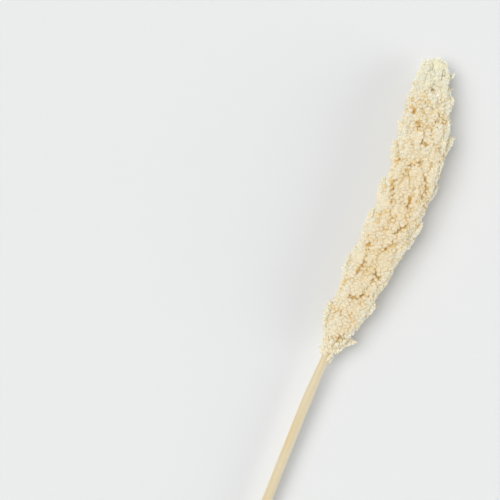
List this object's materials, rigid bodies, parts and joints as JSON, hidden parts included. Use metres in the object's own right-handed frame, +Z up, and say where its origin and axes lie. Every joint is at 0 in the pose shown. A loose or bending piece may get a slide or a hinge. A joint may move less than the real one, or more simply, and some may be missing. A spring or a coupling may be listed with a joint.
{
  "type": "dried sorghum stem",
  "caption": "Cut, bleached stem of dried sorghum: a dense, slightly bowed head of round cream grains with a pale floret tip, on a smooth straw-coloured cane, lying flat.",
  "frame": {"origin": "middle of the stem's bounding box, on the surface it lies on", "axes": "+Y from the cut end to the tip of the head, +Z up, +X across the stem"},
  "size_m": [0.0544, 0.5016, 0.0397],
  "materials": {
    "straw": "smooth dry straw, faintly ribbed lengthwise, low sheen",
    "grain": "matte bleached grain, cream, orange-brown deep between the clusters, with a few glossy husks",
    "floret": "papery, pale ivory"
  },
  "bodies": {
    "root": {"stalk": "straw", "seed_head": "grain", "tip_florets": "floret"}
  },
  "joints": []
}
